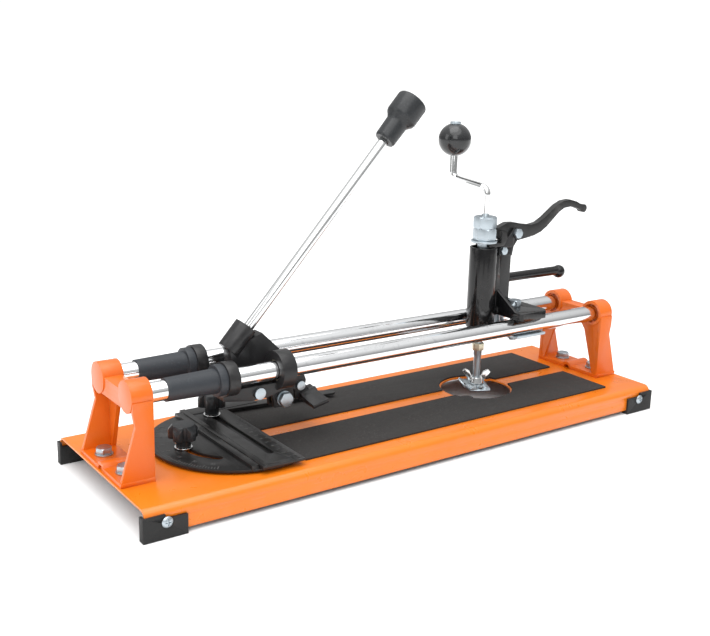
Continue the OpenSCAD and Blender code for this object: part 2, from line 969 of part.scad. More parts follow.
module spindle() {
  tip = pad_t + 0.4;
  shank_r = crank_d / 2 + 0.6;
  thread_top = washer_h + 2.4 + 2 * nut_t + 0.5;
  color(zinc)
    at_spindle()
      difference() {
        union() {
          translate([0, 0, housing_top - 32])
            cylinder(r = spindle_d / 2, h = thread_top - housing_top + 32);
          translate([0, 0, spring_seat])
            cylinder(r = 9.5, h = 1.8);
          translate([0, 0, rail_h - 36])
            cylinder(r = shank_r, h = housing_top - rail_h + 8);
          translate([0, 0, tip])
            cylinder(r = crank_d / 2, h = rail_h - tip - 30);
          translate([0, 0, tip])
            cylinder(r = 7, h = 1.3);
        }
        translate([0, 0, thread_top - 6.5])
          cylinder(r = crank_d / 2, h = 8);
      }
}

module jam_nuts() {
  color(zinc)
    at_spindle()
      for (i = [0, 1])
        translate([0, 0, washer_h + 2.45 + i * (nut_t + 0.1)])
          rotate(i * 17 + 8)
            difference() {
              hex_bar(nut_af, nut_t);
              translate([0, 0, -1])
                cylinder(r = spindle_d / 2 + seat_fit, h = nut_t + 2);
            }
}

// One bend of the crank rod through angle a, starting at the origin going up and turning towards +X.
module rod_bend(a) {
  translate([crank_bend, 0, 0])
    rotate([90, 0, 0])
      rotate(180 - a)
        rotate_extrude(angle = a)
          translate([crank_bend, 0])
            circle(crank_d / 2 + 0.12);
}

module crank_rod() {
  a = 82.5;
  bottom = washer_h + 2.4 + 2 * nut_t - 6;
  foot_z = crank_low - crank_bend * tan(a / 2);
  run_l = crank_arm / cos(7.5) - 2 * crank_bend * tan(a / 2);
  grip_z = crank_low + crank_rise + crank_bend * tan(a / 2);
  lap = 0.4;
  color(chrome)
    at_spindle()
      rotate(crank_turn)
        union() {
          translate([0, 0, bottom])
            cylinder(r = crank_d / 2, h = foot_z - bottom + lap);
          translate([0, 0, foot_z])
            rod_bend(a);
          translate([crank_bend * (1 - cos(a)), 0, foot_z + crank_bend * sin(a)])
            rotate([0, a, 0])
              translate([0, 0, -lap])
                cylinder(r = crank_d / 2, h = run_l + 2 * lap);
          translate([crank_arm, 0, grip_z])
            rotate([0, 180, 0])
              rod_bend(a);
          translate([crank_arm, 0, grip_z - lap])
            cylinder(r = crank_d / 2, h = ball_h + ball_d / 2 - grip_z + 0.5 + lap);
        }
}

// Places its children at the middle of the crank's ball.
module at_ball() {
  at_spindle()
    rotate(crank_turn)
      translate([crank_arm, 0, ball_h])
        children();
}

module crank_ball() {
  color([0.10, 0.11, 0.12])
    at_ball()
      difference() {
        sphere(r = ball_d / 2);
        translate([0, 0, -ball_d])
          cylinder(r = crank_d / 2 + run_fit, h = 2 * ball_d);
        translate([0, 0, ball_d / 2 - 1])
          cylinder(r = ball_d, h = ball_d);
      }
}

module crank_cap_nut() {
  color(zinc)
    at_ball()
      translate([0, 0, ball_d / 2 - 0.95])
        difference() {
          cylinder(r = 5.8, h = 2.4);
          translate([0, 0, -1])
            cylinder(r = crank_d / 2, h = 5);
        }
}

module spindle_lock_nut() {
  color([0.80, 0.78, 0.66])
    at_spindle()
      translate([0, 0, rail_h - 30])
        difference() {
          hex_bar(12, 8);
          translate([0, 0, -1])
            cylinder(r = crank_d / 2 + 0.6, h = 11);
        }
}

// Places its children on the bit plate, with +X towards the carbide bit.
module on_bit_plate() {
  at_spindle()
    rotate(bit_turn)
      translate([0, 0, bit_plate_h])
        children();
}

module bit_plate() {
  half = 11;
  front = bit_r + 2.5;
  back = 10;
  fold = 8;
  color(zinc)
    on_bit_plate()
      difference() {
        union() {
          block([-back, -half, 0], [front, half, bit_plate_t]);
          translate([0, -half, 0])
            rotate([-28, 0, 0])
              block([-back, -fold, 0], [front - 3, 0.8, bit_plate_t]);
        }
        block([-bit_slot_out, -crank_d / 2 - screw_fit, -3], [bit_slot_in, crank_d / 2 + screw_fit, 9]);
        for (x = [-bit_slot_out, bit_slot_in])
          translate([x, 0, -3])
            cylinder(r = crank_d / 2 + screw_fit, h = 9);
        translate([bit_r, 0, -3])
          cylinder(r = 2, h = 9);
      }
}

module bit_screw() {
  color(zinc)
    on_bit_plate()
      translate([bit_r, 0, 0])
        union() {
          translate([0, 0, bit_plate_t])
            cylinder(r = 3.2, h = 1.6);
          cylinder(r = 2, h = bit_plate_t + 0.1);
        }
}

module carbide_bit() {
  color([0.35, 0.36, 0.38])
    on_bit_plate()
      translate([bit_r, 0, 0])
        rotate([90, 0, 0])
          translate([0, 0, -5])
            linear_extrude(10)
              polygon([[-4, 0], [4, 0], [4, -0.6], [1, -1.3], [-4, -0.9]]);
}

module wing_nut() {
  low = bit_plate_h + bit_plate_t + 0.4;
  color(zinc)
    at_spindle()
      rotate(-35)
        difference() {
          union() {
            translate([0, 0, low])
              cylinder(r1 = 8.4, r2 = 6.6, h = 7);
            for (side = [-1, 1])
              mirror([side < 0 ? 1 : 0, 0, 0])
                side_plate([[4.5, low + 1], [8, low + 2.5], [15.5, low + 13], [12.5, low + 15.5],
                    [8, low + 13], [4.5, low + 6]],
                  -1.8, 1.8);
          }
          translate([0, 0, low - 1])
            cylinder(r = crank_d / 2 + run_fit, h = 20);
        }
}

// Moves its children to the gauge's pivot on the deck.
module at_gauge() {
  translate([gauge_x, 0, deck_z])
    children();
}

// Flat ring sector between radii a and b, from angle t0 to t1, with round ends.
module arc_slot(radius, wide, t0, t1) {
  rotate(t0)
    rotate_extrude(angle = t1 - t0)
      translate([radius - wide / 2, -1])
        square([wide, 10]);
  for (t = [t0, t1])
    rotate(t)
      translate([radius, 0, -1])
        cylinder(r = wide / 2, h = 10);
}

module protractor() {
  flat = 16;
  slot_w = 2 * 3 + 1;
  color(black)
    at_gauge()
      difference() {
        union() {
          translate([0, 0, plate_h])
            linear_extrude(plate_t)
              difference() {
                circle(protractor_r, $fn = 128);
                translate([flat, -protractor_r - 1])
                  square(2 * protractor_r + 2);
              }
          block([-26, -protractor_r + 4, plate_h], [-19, protractor_r - 4, ruler_h + 3.2]);
        }
        cylinder(r = 3 + run_fit, h = 20);
        translate([0, 0, plate_h])
          arc_slot(stud_r, slot_w, 180 - 46, 180 + 46);
        translate([5, stud_y, 0])
          cylinder(r = 3 + seat_fit, h = 20);
      }
}

module ruler() {
  x0 = -18.6;
  x1 = x0 + ruler_w;
  y0 = -ruler_l / 2 - 1;
  y1 = ruler_l / 2 - 1;
  bar = 16.5;
  end = 152;
  color([0.14, 0.14, 0.14])
    at_gauge()
      difference() {
        union() {
          block([x0, y0, ruler_h], [x1, y1, ruler_h + plate_t]);
          block([x0, y0, ruler_h], [x0 + 6, y1, ruler_h + plate_t + 1.4]);
          block([x0, y0, ruler_h], [x1 - 12, y0 + 6, ruler_h + plate_t + 0.9]);
          translate([0, 0, ruler_h])
            linear_extrude(plate_t + 0.8)
              polygon([[x0, y1 - bar], [62, y1 - bar], [60, y1 - 3], [54, y1], [x0, y1]]);
          translate([0, 0, ruler_h])
            linear_extrude(plate_t)
              polygon([[x1 - 4, y1 - bar - 2], [end - 4, 51], [end, 55], [end - 6, 63], [130, 69],
                  [59, 73], [50, y1 - 2]]);
        }
        block([5 - 3.5, -56, 0], [5 + 3.5, 60, 20]);
        for (y = [-56, 60])
          translate([5, y, 0])
            cylinder(r = 3.5, h = 20);
      }
}

// Star knob with lobes round a hub, standing on z = 0 and bored for its stud.
module star_knob(lobes) {
  difference() {
    union() {
      cylinder(r = 7, h = 9);
      translate([0, 0, 8])
        intersection() {
          union() {
            cylinder(r = 10, h = 13);
            for (i = [0 : lobes - 1])
              rotate(i * 360 / lobes)
                translate([9.2, 0, 0])
                  cylinder(r = 5, h = 13);
          }
          translate([0, 0, 2])
            sphere(r = 15);
        }
    }
    translate([0, 0, -1])
      cylinder(r = 3 + run_fit, h = 16);
  }
}

module swivel_knob() {
  color(black)
    at_gauge()
      translate([-stud_r, 0, plate_h + plate_t + 1.9])
        star_knob(5);
}

module swivel_washer() {
  color(chrome)
    at_gauge()
      translate([-stud_r, 0, plate_h + plate_t + 0.3])
        difference() {
          cylinder(r = 8.5, h = 1.3);
          translate([0, 0, -1])
            cylinder(r = 3 + run_fit, h = 4);
        }
}

module ruler_stud() {
  color(zinc)
    at_gauge()
      translate([5, stud_y, 0])
        union() {
          translate([0, 0, plate_h])
            cylinder(r = 3, h = plate_t + 18);
        }
}

module ruler_knob() {
  color(black)
    at_gauge()
      translate([5, stud_y, ruler_h + plate_t + 1.9])
        rotate(20)
          star_knob(5);
}

module ruler_washer() {
  color(chrome)
    at_gauge()
      translate([5, stud_y, ruler_h + plate_t + 0.3])
        difference() {
          cylinder(r = 8.5, h = 1.3);
          translate([0, 0, -1])
            cylinder(r = 3 + run_fit, h = 4);
        }
}

base_plate();
front_pad();
back_pad();
left_bracket();
right_bracket();
front_rail();
back_rail();
bracket_bolts();
bracket_washers();
bracket_nuts();
foot_front_left();
foot_front_right();
foot_back_left();
foot_back_right();
foot_screws();
foot_nuts();
gauge_pivot();
swivel_stud();
carriage_frame();
front_guide_sleeve();
back_guide_sleeve();
ring_bushes();
tilt_pin();
lever_head();
lever_rod();
lever_knob();
wheel_axle();
axle_nut();
scoring_wheel();
breaker_foot();
foot_pin();
cutter_body();
spindle_bushes();
clamp_bolt();
clamp_nut();
clamp_plate();
clamp_screw();
clamp_handle();
lever_straps();
strap_pins();
feed_lever();
feed_spring();
thrust_washer();
spindle();
jam_nuts();
crank_rod();
crank_ball();
crank_cap_nut();
spindle_lock_nut();
bit_plate();
bit_screw();
carbide_bit();
wing_nut();
protractor();
ruler();
swivel_knob();
swivel_washer();
ruler_stud();
ruler_knob();
ruler_washer();
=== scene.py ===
"""Looks of a twin-rail tile cutter: finishes, scales, floor, light and camera round the CAD frame."""

import json
import logging
import math
from dataclasses import dataclass, field
from enum import Enum

import bmesh
import bpy
from mathutils import Matrix, Vector

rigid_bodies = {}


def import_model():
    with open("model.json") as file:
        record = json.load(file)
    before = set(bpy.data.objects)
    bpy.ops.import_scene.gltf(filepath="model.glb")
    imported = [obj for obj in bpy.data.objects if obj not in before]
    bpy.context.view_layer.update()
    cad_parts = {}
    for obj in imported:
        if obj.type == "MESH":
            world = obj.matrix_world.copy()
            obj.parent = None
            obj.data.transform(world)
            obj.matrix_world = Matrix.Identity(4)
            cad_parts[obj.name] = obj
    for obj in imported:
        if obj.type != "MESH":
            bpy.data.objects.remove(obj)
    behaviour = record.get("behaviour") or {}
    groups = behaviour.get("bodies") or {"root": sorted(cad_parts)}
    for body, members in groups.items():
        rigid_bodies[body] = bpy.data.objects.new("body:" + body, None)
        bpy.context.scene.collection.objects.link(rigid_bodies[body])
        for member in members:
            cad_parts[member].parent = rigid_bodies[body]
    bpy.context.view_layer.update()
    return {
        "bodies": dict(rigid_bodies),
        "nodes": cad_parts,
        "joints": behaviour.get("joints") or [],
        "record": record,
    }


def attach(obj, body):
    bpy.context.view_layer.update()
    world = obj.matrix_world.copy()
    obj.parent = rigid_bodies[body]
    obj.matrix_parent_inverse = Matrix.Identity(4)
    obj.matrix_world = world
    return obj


LOG = logging.getLogger("tile_cutter")
MM = 0.001
DECK = 27.5
GAUGE_X = -174.0

Colour = tuple[float, float, float]
Point = tuple[float, float, float]


class Grain(Enum):
    """Which way a drawn or turned surface was worked."""

    ALONG_X = (1.0, 26.0, 26.0)
    ALONG_Y = (26.0, 1.0, 26.0)
    EVEN = (6.0, 6.0, 6.0)


class Nodes:
    """A small helper that adds and links shader nodes in one tree."""

    def __init__(self, tree: bpy.types.NodeTree) -> None:
        """Keeps the tree.

        Args:
            tree: The node tree of a material or a group.
        """
        self.tree = tree

    def add(self, kind: str, **values: object) -> bpy.types.Node:
        """Adds a node and sets its inputs and properties.

        Args:
            kind: The node's type name.
            **values: Input names, with spaces as underscores, or properties.

        Returns:
            The new node.
        """
        node = self.tree.nodes.new(kind)
        for key, value in values.items():
            name = key.replace("_", " ")
            if name in node.inputs:
                self.put(node.inputs[name], value)
            else:
                setattr(node, key, value)
        return node

    def put(self, socket: bpy.types.NodeSocket, value: object) -> None:
        """Links a socket to a value's output, or sets it as a constant.

        Args:
            socket: The input to fill.
            value: An output socket or a plain value.
        """
        if isinstance(value, bpy.types.NodeSocket):
            self.tree.links.new(value, socket)
        else:
            socket.default_value = value

    def math(self, operation: str, *terms: object) -> bpy.types.NodeSocket:
        """Adds a Math node.

        Args:
            operation: The Math operation.
            *terms: Its one to three terms.

        Returns:
            The result's socket.
        """
        node = self.tree.nodes.new("ShaderNodeMath")
        node.operation = operation
        for socket, term in zip(node.inputs, terms, strict=False):
            self.put(socket, term)
        return node.outputs[0]

    def span(self, value: object, low: float, high: float, to_low: float = 0.0, to_high: float = 1.0):
        """Maps a span of values to another, clamped.

        Args:
            value: The value to map.
            low: Start of the span.
            high: End of the span.
            to_low: What the start becomes.
            to_high: What the end becomes.

        Returns:
            The result's socket.
        """
        node = self.add("ShaderNodeMapRange", From_Min=low, From_Max=high, To_Min=to_low, To_Max=to_high)
        self.put(node.inputs["Value"], value)
        return node.outputs["Result"]

    def mix(self, factor: object, first: object, second: object) -> bpy.types.NodeSocket:
        """Mixes two colours.

        Args:
            factor: How much of the second shows.
            first: The first colour.
            second: The second colour.

        Returns:
            The mixed colour's socket.
        """
        node = self.tree.nodes.new("ShaderNodeMix")
        node.data_type = "RGBA"
        for index, value in ((0, factor), (6, first), (7, second)):
            self.put(node.inputs[index], value)
        return node.outputs[2]


def rgba(colour: Colour) -> tuple[float, float, float, float]:
    """A colour with full alpha."""
    return (*colour, 1.0)


class GroupShop:
    """Builds each shared surface effect once, as a node group with named sockets."""

    def __init__(self) -> None:
        """Starts with no groups built."""
        self.built: dict[str, bpy.types.NodeTree] = {}

    def group(self, name: str) -> bpy.types.NodeTree:
        """The named group, built on first use.

        Args:
            name: One of the group names below.

        Returns:
            The node group.
        """
        if name not in self.built:
            self.built[name] = getattr(self, f"_{name}")()
        return self.built[name]

    def _new(
        self, name: str, inputs: dict[str, object], outputs: dict[str, str]
    ) -> tuple[Nodes, dict, dict]:
        """Makes an empty group.

        Args:
            name: The group's name.
            inputs: Input names and their default values.
            outputs: Output names and their socket types.

        Returns:
            The node helper, the group's inputs and the group's outputs, by name.
        """
        tree = bpy.data.node_groups.new(name, "ShaderNodeTree")
        for key, value in inputs.items():
            kind = "NodeSocketFloat" if isinstance(value, float) else "NodeSocketColor"
            kind = "NodeSocketVector" if isinstance(value, tuple) and len(value) == 3 else kind
            socket = tree.interface.new_socket(name=key, in_out="INPUT", socket_type=kind)
            socket.default_value = value
        for key, kind in outputs.items():
            tree.interface.new_socket(name=key, in_out="OUTPUT", socket_type=kind)
        source = tree.nodes.new("NodeGroupInput")
        sink = tree.nodes.new("NodeGroupOutput")
        return (
            Nodes(tree),
            {k: source.outputs[k] for k in inputs},
            {k: sink.inputs[k] for k in outputs},
        )

    def _edge_wear(self) -> bpy.types.NodeTree:
        """Rubbed edges and small chips: a mask that is 1 where the finish has gone thin."""
        n, i, o = self._new(
            "edge_wear", {"Amount": 0.5, "Scale": 60.0}, {"Mask": "NodeSocketFloat"}
        )
        place = n.add("ShaderNodeNewGeometry")
        edge = n.span(place.outputs["Pointiness"], 0.52, 0.60)
        where = n.add("ShaderNodeTexCoord").outputs["Object"]
        patch = n.add("ShaderNodeTexNoise", Vector=where, Scale=i["Scale"], Detail=6.0, Roughness=0.65)
        chips = n.span(patch.outputs["Fac"], 0.50, 0.62)
        n.put(o["Mask"], n.math("MULTIPLY", n.math("MULTIPLY", edge, chips), i["Amount"]))
        return n.tree

    def _underside(self) -> bpy.types.NodeTree:
        """Painted shade on faces that look down: a mask that is 1 where a face turns downward, so its
        colour can be darkened to stand in for shadow.
        """
        n, i, o = self._new("underside", {"Amount": 0.95}, {"Mask": "NodeSocketFloat"})
        normal = n.add("ShaderNodeNewGeometry").outputs["True Normal"]
        split = n.add("ShaderNodeSeparateXYZ", Vector=normal)
        down = n.span(n.math("MULTIPLY", split.outputs["Z"], -1.0), 0.45, 0.75)
        n.put(o["Mask"], n.math("MULTIPLY", down, i["Amount"]))
        return n.tree

    def _powder(self) -> bpy.types.NodeTree:
        """Powder-coat skin: orange-peel height, tone drift and a slightly uneven sheen."""
        n, i, o = self._new(
            "powder",
            {"Colour": (0.5, 0.5, 0.5, 1.0), "Deep": (0.3, 0.3, 0.3, 1.0), "Gloss": 0.3, "Peel": 420.0},
            {"Colour": "NodeSocketColor", "Roughness": "NodeSocketFloat", "Height": "NodeSocketFloat"},
        )
        where = n.add("ShaderNodeTexCoord").outputs["Object"]
        peel = n.add("ShaderNodeTexNoise", Vector=where, Scale=i["Peel"], Detail=2.0, Roughness=0.4)
        drift = n.add("ShaderNodeTexNoise", Vector=where, Scale=9.0, Detail=4.0, Roughness=0.6)
        handled = n.add(
            "ShaderNodeTexNoise", Vector=where, Scale=34.0, Detail=5.0, Roughness=0.6, Distortion=0.6
        )
        depth = n.span(drift.outputs["Fac"], 0.35, 0.75, 0.0, 0.45)
        n.put(o["Colour"], n.mix(depth, i["Colour"], i["Deep"]))
        smear = n.span(handled.outputs["Fac"], 0.3, 0.75, -0.05, 0.10)
        n.put(o["Roughness"], n.math("ADD", i["Gloss"], smear))
        n.put(o["Height"], peel.outputs["Fac"])
        return n.tree

    def _drawn_metal(self) -> bpy.types.NodeTree:
        """Fine lines of drawn or turned metal with small scuffs: roughness and height."""
        n, i, o = self._new(
            "drawn_metal",
            {"Grain": (1.0, 20.0, 20.0), "Fineness": 160.0, "Base": 0.2, "Depth": 0.12},
            {"Roughness": "NodeSocketFloat", "Height": "NodeSocketFloat", "Scuffs": "NodeSocketFloat"},
        )
        where = n.add("ShaderNodeTexCoord").outputs["Object"]
        stretch = n.add("ShaderNodeVectorMath", operation="MULTIPLY")
        n.put(stretch.inputs[0], where)
        n.put(stretch.inputs[1], i["Grain"])
        lines = n.add("ShaderNodeTexNoise", Vector=stretch.outputs[0], Scale=i["Fineness"], Detail=3.0)
        scuff = n.add(
            "ShaderNodeTexNoise", Vector=where, Scale=85.0, Detail=7.0, Roughness=0.7, Distortion=1.2
        )
        marks = n.span(scuff.outputs["Fac"], 0.55, 0.72)
        n.put(o["Scuffs"], marks)
        band = n.math("MULTIPLY", lines.outputs["Fac"], i["Depth"])
        worked = n.math("ADD", i["Base"], band)
        n.put(o["Roughness"], n.math("ADD", worked, n.math("MULTIPLY", marks, 0.08)))
        n.put(o["Height"], lines.outputs["Fac"])
        return n.tree

    def _pebble(self) -> bpy.types.NodeTree:
        """Fine pebbled skin of rubber and moulded plastic: colour flecks, roughness and height."""
        n, i, o = self._new(
            "pebble",
            {"Colour": (0.1, 0.1, 0.1, 1.0), "Fleck": (0.2, 0.2, 0.2, 1.0), "Grit": 900.0, "Base": 0.7},
            {"Colour": "NodeSocketColor", "Roughness": "NodeSocketFloat", "Height": "NodeSocketFloat"},
        )
        where = n.add("ShaderNodeTexCoord").outputs["Object"]
        cells = n.add("ShaderNodeTexVoronoi", Vector=where, Scale=i["Grit"])
        dust = n.add("ShaderNodeTexNoise", Vector=where, Scale=26.0, Detail=8.0, Roughness=0.7)
        speck = n.add("ShaderNodeTexNoise", Vector=where, Scale=i["Grit"], Detail=2.0)
        bright = n.span(speck.outputs["Fac"], 0.55, 0.75)
        flecks = n.math("MULTIPLY", bright, n.span(dust.outputs["Fac"], 0.35, 0.7))
        n.put(o["Colour"], n.mix(flecks, i["Colour"], i["Fleck"]))
        n.put(o["Roughness"], n.math("ADD", i["Base"], n.span(dust.outputs["Fac"], 0.3, 0.7, -0.06, 0.08)))
        n.put(o["Height"], cells.outputs["Distance"])
        return n.tree


SHOP = GroupShop()


def blank(name: str) -> tuple[bpy.types.Material, Nodes, bpy.types.Node]:
    """Makes an empty material with a Principled shader.

    Args:
        name: The material's name.

    Returns:
        The material, its node helper and its Principled node.
    """
    material = bpy.data.materials.new(name)
    material.use_nodes = True
    material.node_tree.nodes.clear()
    n = Nodes(material.node_tree)
    shader = n.add("ShaderNodeBsdfPrincipled")
    n.add("ShaderNodeOutputMaterial", Surface=shader.outputs[0])
    return material, n, shader


def use_group(n: Nodes, name: str, **values: object) -> bpy.types.Node:
    """Places a shared group in a material.

    Args:
        n: The material's node helper.
        name: The group's name.
        **values: The group's inputs.

    Returns:
        The group node.
    """
    node = n.tree.nodes.new("ShaderNodeGroup")
    node.node_tree = SHOP.group(name)
    for key, value in values.items():
        n.put(node.inputs[key.replace("_", " ")], value)
    return node


def bump(n: Nodes, shader: bpy.types.Node, height: object, strength: float, depth: float) -> None:
    """Feeds a height to the shader's normal.

    Args:
        n: The material's node helper.
        shader: The Principled node.
        height: The height's socket.
        strength: Strength of the bump.
        depth: Depth of the bump in millimetres.
    """
    node = n.add("ShaderNodeBump", Strength=strength, Distance=depth * MM, Height=height)
    n.put(shader.inputs["Normal"], node.outputs[0])


@dataclass(frozen=True)
class PowderCoat:
    """Baked powder coat over steel, with thin worn edges and, where a shade colour is given, painted shade
    darkening the faces that look down.
    """

    name: str
    colour: Colour
    deep: Colour
    bare: Colour = (0.30, 0.29, 0.28)
    gloss: float = 0.30
    peel: float = 420.0
    wear: float = 0.5
    coat: float = 0.25
    peel_depth: float = 0.05
    # Colour of the painted shade on faces that look down, or None for no painted shade.
    under: Colour | None = None
    shine: float = 0.5

    def make(self) -> bpy.types.Material:
        """Builds the material."""
        material, n, shader = blank(self.name)
        skin = use_group(
            n, "powder", Colour=rgba(self.colour), Deep=rgba(self.deep), Gloss=self.gloss, Peel=self.peel
        )
        worn = use_group(n, "edge_wear", Amount=self.wear).outputs["Mask"]
        colour = n.mix(worn, skin.outputs["Colour"], rgba(self.bare))
        # Painted shade: faces that look down are darkened towards the shade colour, standing in for the
        # shadow beneath the part.
        if self.under is not None:
            colour = n.mix(use_group(n, "underside").outputs["Mask"], colour, rgba(self.under))
        n.put(shader.inputs["Base Color"], colour)
        rougher = n.math("MULTIPLY", worn, 0.15)
        n.put(shader.inputs["Roughness"], n.math("ADD", skin.outputs["Roughness"], rougher))
        n.put(shader.inputs["Metallic"], n.math("MULTIPLY", worn, 0.7))
        shader.inputs["Coat Weight"].default_value = self.coat
        shader.inputs["Coat Roughness"].default_value = 0.12
        shader.inputs["Specular IOR Level"].default_value = self.shine
        bump(n, shader, skin.outputs["Height"], 0.35, self.peel_depth)
        return material


@dataclass(frozen=True)
class Metal:
    """Plated or polished steel with the lines of its making."""

    name: str
    colour: Colour
    tint: Colour
    base: float = 0.12
    depth: float = 0.10
    grain: Grain = Grain.EVEN
    fineness: float = 160.0
    relief: float = 0.02

    def make(self) -> bpy.types.Material:
        """Builds the material."""
        material, n, shader = blank(self.name)
        skin = use_group(
            n, "drawn_metal", Grain=self.grain.value, Fineness=self.fineness,
            Base=self.base, Depth=self.depth,
        )
        colour = n.mix(skin.outputs["Scuffs"], rgba(self.colour), rgba(self.tint))
        n.put(shader.inputs["Base Color"], colour)
        n.put(shader.inputs["Roughness"], skin.outputs["Roughness"])
        shader.inputs["Metallic"].default_value = 1.0
        bump(n, shader, skin.outputs["Height"], 0.3, self.relief)
        return material


@dataclass(frozen=True)
class Moulded:
    """Moulded rubber, vinyl or plastic with a fine pebbled skin."""

    name: str
    colour: Colour
    fleck: Colour
    base: float = 0.6
    grit: float = 900.0
    relief: float = 0.08
    strength: float = 0.4
    coat: float = 0.0
    shine: float = 0.35

    def make(self) -> bpy.types.Material:
        """Builds the material."""
        material, n, shader = blank(self.name)
        skin = use_group(
            n, "pebble", Colour=rgba(self.colour), Fleck=rgba(self.fleck), Grit=self.grit, Base=self.base
        )
        n.put(shader.inputs["Base Color"], skin.outputs["Colour"])
        n.put(shader.inputs["Roughness"], skin.outputs["Roughness"])
        shader.inputs["Coat Weight"].default_value = self.coat
        shader.inputs["Specular IOR Level"].default_value = self.shine
        bump(n, shader, skin.outputs["Height"], self.strength, self.relief)
        return material


class Finishes:
    """Every finish of the tile cutter, made once."""

    def __init__(self) -> None:
        """Builds all the materials."""
        list_of = [
            PowderCoat(
                "orange_paint", (0.76, 0.185, 0.007), (0.70, 0.160, 0.006),
                # The base's underside colour is painted shade that darkens its down-facing faces, such as
                # those seen through the deck hole.
                wear=0.12, gloss=0.30, coat=0.12, under=(0.10, 0.022, 0.010),
            ),
            PowderCoat(
                "orange_casting", (0.70, 0.135, 0.004), (0.64, 0.112, 0.003),
                wear=0.12, gloss=0.32, coat=0.1,
            ),
            PowderCoat(
                "black_enamel", (0.006, 0.006, 0.0065), (0.010, 0.009, 0.009),
                gloss=0.14, coat=0.05, wear=0.12, shine=0.38,
            ),
            PowderCoat(
                "black_casting", (0.014, 0.014, 0.015), (0.022, 0.021, 0.021),
                gloss=0.33, peel=300.0, peel_depth=0.12,
                coat=0.05, wear=0.15, shine=0.35,
            ),
            PowderCoat(
                "gauge_enamel", (0.014, 0.014, 0.014), (0.020, 0.019, 0.019),
                gloss=0.33, coat=0.05, wear=0.12, shine=0.35,
            ),
            Metal("chrome_rail", (0.80, 0.81, 0.82), (0.68, 0.69, 0.71), 0.07, 0.07, Grain.ALONG_X),
            Metal("chrome_rod", (0.76, 0.77, 0.77), (0.62, 0.63, 0.64), 0.08, 0.07, Grain.EVEN, 60.0),
            Metal("zinc_plate", (0.46, 0.52, 0.56), (0.32, 0.37, 0.41), 0.26, 0.22, Grain.EVEN, 90.0, 0.05),
            Metal("yellow_zinc", (0.66, 0.62, 0.48), (0.5, 0.46, 0.34), 0.30, 0.20, Grain.EVEN, 90.0, 0.05),
            Metal("dark_carbide", (0.12, 0.12, 0.13), (0.07, 0.07, 0.07), 0.35, 0.2),
            Metal("wheel_gold", (0.72, 0.52, 0.20), (0.55, 0.38, 0.14), 0.22, 0.15, Grain.ALONG_Y),
            Moulded("pad_rubber", (0.028, 0.026, 0.025), (0.075, 0.070, 0.066), 0.82, 700.0, 0.25, 0.7),
            Moulded("foot_rubber", (0.012, 0.012, 0.012), (0.035, 0.035, 0.035), 0.55, 800.0, 0.05, 0.3),
            Moulded("sleeve_vinyl", (0.030, 0.034, 0.040), (0.055, 0.060, 0.068), 0.46, 600.0, 0.05, 0.3),
            Moulded(
                "grip_plastic", (0.018, 0.020, 0.022), (0.045, 0.048, 0.052), 0.38, 700.0, 0.06, 0.35, 0.15
            ),
            Moulded("ball_plastic", (0.014, 0.015, 0.016), (0.03, 0.03, 0.03), 0.20, 500.0, 0.02, 0.2, 0.5),
            Moulded("cream_acetal", (0.55, 0.52, 0.42), (0.45, 0.42, 0.33), 0.45, 700.0, 0.03, 0.3),
            Moulded("scale_ink", (0.11, 0.11, 0.11), (0.20, 0.20, 0.19), 0.55, 500.0, 0.01, 0.1),
        ]
        self.by_name = {finish.name: finish.make() for finish in list_of}

    def dress(self, obj: bpy.types.Object, name: str) -> None:
        """Gives an object one finish all over.

        Args:
            obj: The object.
            name: The finish's name.
        """
        obj.data.materials.clear()
        obj.data.materials.append(self.by_name[name])


def smooth_edges(obj: bpy.types.Object, width: float, segments: int = 3, angle: float = 35.0) -> None:
    """Rounds an object's sharp edges and shades it smooth.

    Args:
        obj: The object.
        width: Width of the rounding in millimetres.
        segments: Steps in the rounding.
        angle: Edges sharper than this many degrees are rounded.
    """
    weld = obj.modifiers.new("join", "WELD")
    weld.merge_threshold = 1e-6
    round_off = obj.modifiers.new("rounding", "BEVEL")
    round_off.width = width * MM
    round_off.segments = segments
    round_off.limit_method = "ANGLE"
    round_off.angle_limit = math.radians(angle)
    round_off.use_clamp_overlap = True
    round_off.harden_normals = True
    for polygon in obj.data.polygons:
        polygon.use_smooth = True


@dataclass
class Detail:
    """Collects small pieces of mesh for one new object that rides on one body."""

    name: str
    body: str
    finish: str
    mesh: bmesh.types.BMesh = field(default_factory=bmesh.new)

    def slab(self, outline: list[tuple[float, float]], low: float, high: float, place: Matrix) -> None:
        """Raises an outline into a flat solid.

        Args:
            outline: Corners in millimetres, anticlockwise.
            low: Height of its lower face.
            high: Height of its upper face.
            place: Where the local frame stands, in millimetres.
        """
        bottom = [self.mesh.verts.new((place @ Vector((x, y, low))) * MM) for x, y in outline]
        top = [self.mesh.verts.new((place @ Vector((x, y, high))) * MM) for x, y in outline]
        self.mesh.faces.new(list(reversed(bottom)))
        self.mesh.faces.new(top)
        count = len(outline)
        for k in range(count):
            nxt = (k + 1) % count
            self.mesh.faces.new((bottom[k], bottom[nxt], top[nxt], top[k]))

    def build(self, finishes: Finishes, round_mm: float = 0.0) -> bpy.types.Object:
        """Makes the object, dresses it and lets it ride on its body.

        Args:
            finishes: The finishes.
            round_mm: Rounding of its edges in millimetres, or 0 for none.

        Returns:
            The new object.
        """
        bmesh.ops.recalc_face_normals(self.mesh, faces=self.mesh.faces)
        data = bpy.data.meshes.new(self.name)
        self.mesh.to_mesh(data)
        self.mesh.free()
        obj = bpy.data.objects.new(self.name, data)
        bpy.context.scene.collection.objects.link(obj)
        finishes.dress(obj, self.finish)
        if round_mm:
            smooth_edges(obj, round_mm, 2)
        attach(obj, self.body)
        return obj


def at(x: float, y: float, z: float) -> Matrix:
    """A plain shift in millimetres."""
    return Matrix.Translation((x, y, z))


def oblong(length: float, width: float) -> list[tuple[float, float]]:
    """Corners of a rectangle round its middle, along X."""
    a, b = length / 2, width / 2
    return [(-a, -b), (a, -b), (a, b), (-a, b)]


